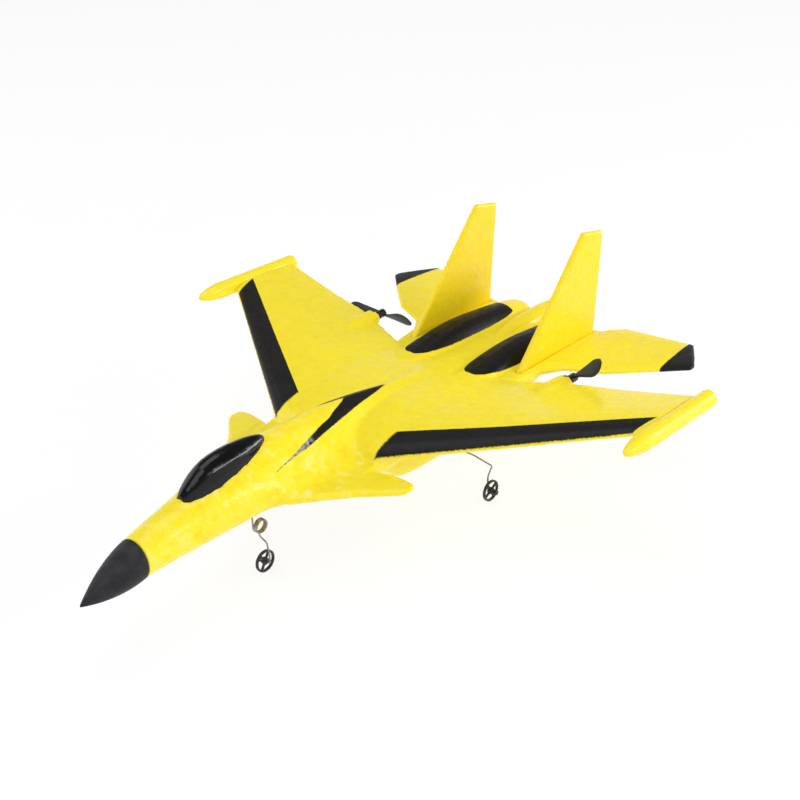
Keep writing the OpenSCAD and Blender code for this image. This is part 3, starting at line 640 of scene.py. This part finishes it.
# CAD node, voxel in millimetres, body, slot, material
MOULDED = (
    ("nose_cone", 0.45, "root", "charcoal_paint", "charcoal"),
    ("nose_wheel", 0.15, "nose_wheel_body", "black_plastic", "black"),
    ("nose_wheel_cap", 0.12, "nose_leg", "black_plastic", "black"),
    ("port_wheel", 0.15, "port_wheel_body", "black_plastic", "black"),
    ("starboard_wheel", 0.15, "starboard_wheel_body", "black_plastic", "black"),
    ("port_wheel_cap", 0.12, "root", "black_plastic", "black"),
    ("starboard_wheel_cap", 0.12, "root", "black_plastic", "black"),
    ("port_propeller", 0.17, "port_prop", "black_plastic", "black"),
    ("starboard_propeller", 0.17, "starboard_prop", "black_plastic", "black"),
    ("port_motor_mount", 0.2, "root", "black_plastic", "black"),
    ("starboard_motor_mount", 0.2, "root", "black_plastic", "black"),
    ("switch_slider", 0.12, "switch", "black_plastic", "black"),
    ("battery", 0.4, "root", "battery_foil", "foil"),
)


def make_moulded():
    for node, voxel, body, slot, look in MOULDED:
        dress(moulded(node, voxel * MM), body, MATERIAL[look], [node])


# ---- Wires ----

WIRE_R = 0.45 * MM
BENT_R = 0.432 * MM
COIL_AT = Vector((0, -74.5, 28.4)) * MM
COIL_R, COIL_PITCH, COIL_TURNS = 3.5 * MM, 0.98 * MM, 2.98
LEG_ROUTE = ((3.39, -78, 28), (3.39, -76.6, 23.8), (3.49, -73, 18.6), (3.59, -72, 11), (3.59, -72, 6),
             (1.99, -72, 6))
GEAR_ROUTE = ((27.4, 42.6, 36), (27.4, 42.6, 29.6), (36, 47.4, 26.2), (44.8, 52.4, 20.4), (42.8, 51.5, 13.8),
              (42.8, 51, 6), (44.4, 51, 6))


def make_nose_spring():
    """Stub and wound coil in one length of wire, which winds up when the leg flexes."""
    stub = [(0, COIL_AT.y - COIL_R, z * MM) for z in (43.6, 40, 36, 33, 31, 29.6)]
    turns = []
    for step in range(int(COIL_TURNS * 48) + 1):
        angle = math.pi + 2 * math.pi * step / 48
        along = COIL_PITCH * step / 48
        turns.append(COIL_AT + Vector((along, COIL_R * math.cos(angle), COIL_R * math.sin(angle))))
    spring = joined("nose_spring", [tube_mesh(stub + turns, WIRE_R, 14)])
    spring.data.materials.append(MATERIAL["coil"])
    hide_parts("nose_gear_stub", "nose_coil_spring")
    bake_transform(spring)


def make_legs():
    axle = [Vector((x, -72, 6)) * MM for x in (2.6, 1, -2, -4.2)]
    leg = joined("nose_leg_bent", [tube_mesh(rounded_route([Vector(p) * MM for p in LEG_ROUTE]), BENT_R),
                                   tube_mesh(axle, WIRE_R)])
    dress(leg, "nose_leg", MATERIAL["wire"], ["nose_leg_wire"])
    for side, sign in SIDES:
        route = [Vector((sign * x, y, z)) * MM for x, y, z in GEAR_ROUTE]
        axle = [Vector((sign * x, 51, 6)) * MM for x in (43.8, 46, 48, 49.2)]
        gear = joined(side + "_gear_leg", [tube_mesh(rounded_route(route), BENT_R), tube_mesh(axle, WIRE_R)])
        dress(gear, "root", MATERIAL["wire"], [side + "_gear_wire"])


# ---- Carried-over CAD nodes ----

CAD_LOOKS = {
    "wire": ["port_motor_shaft", "starboard_motor_shaft", "hatch_pin"],
    "can": ["port_motor", "starboard_motor", "switch_body"],
    "white": ["nose_gear_socket", "port_gear_socket", "starboard_gear_socket"],
    "panel": ["electronics_tray", "belly_panel", "battery_hatch"],
    "screw": ["panel_screws"],
    "lead": ["port_motor_leads", "starboard_motor_leads", "antenna_wire"],
    "ivory": ["battery_plug", "charge_socket"],
    "board": ["receiver_board"],
    "chip": ["board_components"],
    "lens": ["status_light"],
}


def dress_cad_nodes():
    for look, nodes in CAD_LOOKS.items():
        for node in nodes:
            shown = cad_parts[node]
            shown.data.materials.clear()
            shown.data.materials.append(MATERIAL[look])


# ---- Stage ----

def area_light(name, place, size, power, towards=(0, 0, 0.05), along=(0, 0, 1)):
    """A soft light; size is its length, which lies close to the direction along, and its width."""
    lamp = bpy.data.lights.new(name, "AREA")
    lamp.shape, lamp.size, lamp.size_y, lamp.energy = "RECTANGLE", size[0], size[1], power
    back = (Vector(place) - Vector(towards)).normalized()
    across = Vector(along).cross(back).normalized()
    length = back.cross(across)
    shown = bpy.data.objects.new(name, lamp)
    shown.visible_camera = False
    shown.matrix_world = Matrix.Translation(place) @ Matrix((length, -across, back)).transposed().to_4x4()
    bpy.context.scene.collection.objects.link(shown)


# Name, place, size, power and, where it matters, the direction its length lies along
LIGHTS = (
    ("strip", (0.8, 0.74, 0.48), (1.7, 0.13), 8.0, (-0.54, 0.78, -0.31)),
    ("key", (0.45, -0.75, 1.3), (1.0, 1.0), 6.0, (0, 0, 1)),
    ("top", (-0.2, 0.1, 1.7), (1.1, 1.1), 7.6, (0, 1, 0)),
    ("fill", (-1.0, -0.5, 0.7), (0.9, 0.9), 3.4, (0, 0, 1)),
)
# The sky's brightness falls from the first strength to the second between these heights
GLOW_HEIGHTS, GLOW_STRENGTHS = (0.28, 0.42), (0.93, 0.22)
FLOOR_HALF = 40.0
FLOOR_GLOW = 0.85


def make_sky():
    """White near the horizon and dim overhead, so that black paint seen from above stays dark."""
    world = bpy.data.worlds.new("studio")
    world.use_nodes = True
    nodes, links = world.node_tree.nodes, world.node_tree.links
    sky = nodes["Background"]
    sky.inputs["Color"].default_value = (1, 1, 1, 1)
    direction = nodes.new("ShaderNodeTexCoord")
    parts = nodes.new("ShaderNodeSeparateXYZ")
    glow = nodes.new("ShaderNodeMapRange")
    for socket, value in zip(list(glow.inputs)[1:5], GLOW_HEIGHTS + GLOW_STRENGTHS):
        socket.default_value = value
    links.new(direction.outputs["Generated"], parts.inputs[0])
    links.new(parts.outputs["Z"], glow.inputs["Value"])
    links.new(glow.outputs[0], sky.inputs["Strength"])
    bpy.context.scene.world = world


def make_floor():
    """White paper that glows a little, so that shadows stay faint. It can be seen through from below."""
    corners = [(x * FLOOR_HALF, y * FLOOR_HALF, 0) for x, y in ((-1, -1), (1, -1), (1, 1), (-1, 1))]
    floor = new_object("floor", corners, [(0, 1, 2, 3)])
    shader = Shader("floor_paper", Roughness=0.8, Specular_IOR_Level=0.2, Emission_Strength=FLOOR_GLOW)
    shader.surface.inputs["Emission Color"].default_value = (1, 1, 1, 1)
    grain = shader.mix(shader.noise(50 * MM, 3.0), rgb(110, 111, 115), rgb(106, 107, 111))
    floor.data.materials.append(shader.finish(grain))
    clear = shader.add("BsdfTransparent")
    backfacing = shader.add("NewGeometry", out="Backfacing")
    seen = shader.add("MixShader", Fac=backfacing, i1=shader.surface.outputs[0], i2=clear)
    shader.links.new(seen, shader.nodes["Material Output"].inputs["Surface"])


def make_stage():
    make_sky()
    make_floor()
    for name, place, size, power, along in LIGHTS:
        area_light(name, place, size, power, along=along)
    bpy.context.scene.view_settings.view_transform = "Standard"


make_camera()
make_foam()
make_canopy()
make_moulded()
make_nose_spring()
make_legs()
dress_cad_nodes()
make_stage()
